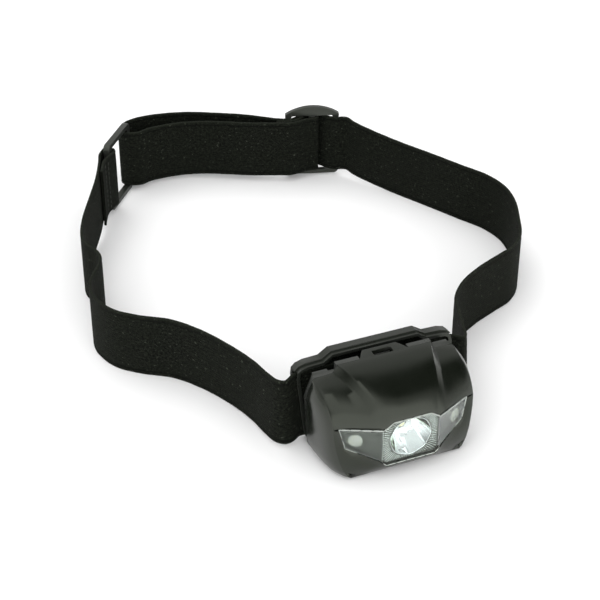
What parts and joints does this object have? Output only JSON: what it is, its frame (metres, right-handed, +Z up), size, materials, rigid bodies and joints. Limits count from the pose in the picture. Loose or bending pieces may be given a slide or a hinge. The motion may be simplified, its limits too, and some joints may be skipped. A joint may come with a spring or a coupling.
{
  "type": "headlamp",
  "caption": "Elastic headlamp: a lensed lamp case on a tilting bracket, carried by an adjustable sewn webbing band.",
  "frame": {"origin": "on the floor under the middle of the whole object's box", "axes": "+Z up from the edge the band stands on, -Y the way the lamp faces, +X to the viewer's right when facing the lamp"},
  "size_m": [0.1718, 0.222, 0.0331],
  "materials": {
    "webbing": "woven elastic",
    "moulded_black": "satin",
    "case_black": "gloss",
    "pin_steel": "plain",
    "clear_lens": "clear",
    "bezel_grey": "satin",
    "reflector_chrome": "vacuum plated",
    "board_green": "solder mask",
    "led_ceramic": "white",
    "led_lens": "clear resin",
    "button_rubber": "matte",
    "cell_sleeve": "printed sleeve, plain",
    "contact_steel": "nickel plated"
  },
  "bodies": {
    "band": {"head_strap": "webbing", "loop_buckle": "moulded_black", "strap_slider": "moulded_black", "bracket": "moulded_black", "hinge_pins": "pin_steel"},
    "cover": {"rear_cover": "moulded_black"},
    "lamp": {"front_shell": "case_black", "lens_window": "clear_lens", "bezel_panel": "bezel_grey", "reflector_cup": "reflector_chrome", "circuit_board": "board_green", "main_led": "led_ceramic", "led_dome": "led_lens", "side_led_left": "led_lens", "side_led_right": "led_lens", "tact_switch": "moulded_black", "battery_tray": "moulded_black", "tray_screws": "pin_steel", "cell_lower": "cell_sleeve", "cell_upper": "cell_sleeve", "spring_left": "contact_steel", "spring_right": "contact_steel", "link_plate": "contact_steel", "positive_plate": "contact_steel", "negative_plate": "contact_steel"},
    "button": {"switch_button": "button_rubber"}
  },
  "joints": [
    {"name": "lamp_tilt", "type": "hinge", "parent": "band", "child": "cover", "pos_m": [-0.0113, -0.0876, 0.0032], "axis": [1, 0, 0], "range_deg": [0, 45]},
    {"name": "case_open", "type": "hinge", "parent": "cover", "child": "lamp", "pos_m": [-0.0113, -0.0876, 0.0032], "axis": [1, 0, 0], "range_deg": [0, 40]},
    {"name": "button_press", "type": "slide", "parent": "lamp", "child": "button", "axis": [0, 0, 1], "range_m": [0, 0.0008], "stiffness_N_per_m": 800, "springref_m": -0.0005}
  ]
}
